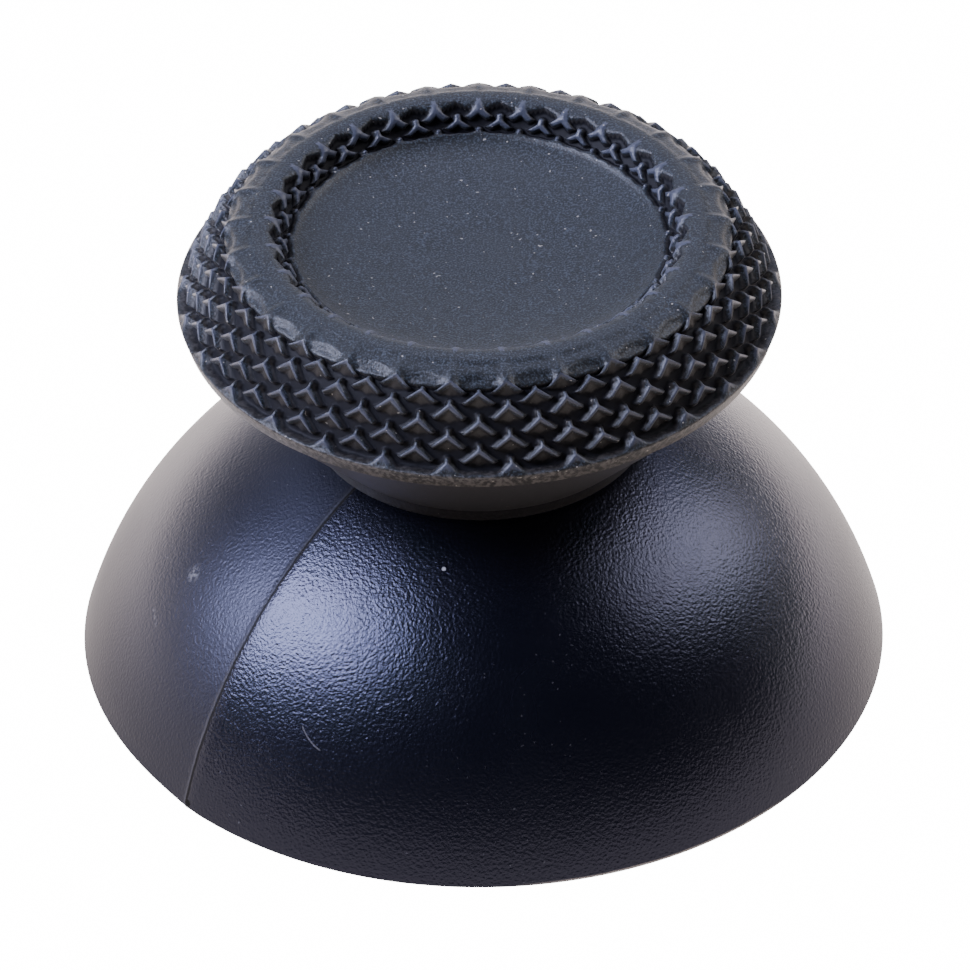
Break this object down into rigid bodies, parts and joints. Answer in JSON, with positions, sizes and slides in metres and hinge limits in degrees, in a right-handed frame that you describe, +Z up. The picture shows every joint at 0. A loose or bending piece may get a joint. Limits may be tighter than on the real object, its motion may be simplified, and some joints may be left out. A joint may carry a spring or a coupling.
{
  "type": "thumbstick cap",
  "caption": "Round controller thumbstick cap: hard plastic dome with a shaft post inside, and a dished rubber grip with a star knurl moulded over its head.",
  "frame": {"origin": "centre of the dome's rim, on the flat face that the cap stands on", "axes": "+Z up along the cap's axis, from the rim towards the grip; -Y is the side that faces the viewer; the socket's flats face +X and -X"},
  "size_m": [0.0246, 0.0246, 0.0155],
  "materials": {
    "dome_plastic": "satin blue-black moulded plastic with a fine orange-peel grain",
    "grip_rubber": "matte slate-black rubber with pale dust specks, satin on the ridges of the knurl"
  },
  "bodies": {
    "root": {"body": "dome_plastic", "grip": "grip_rubber"}
  },
  "joints": []
}
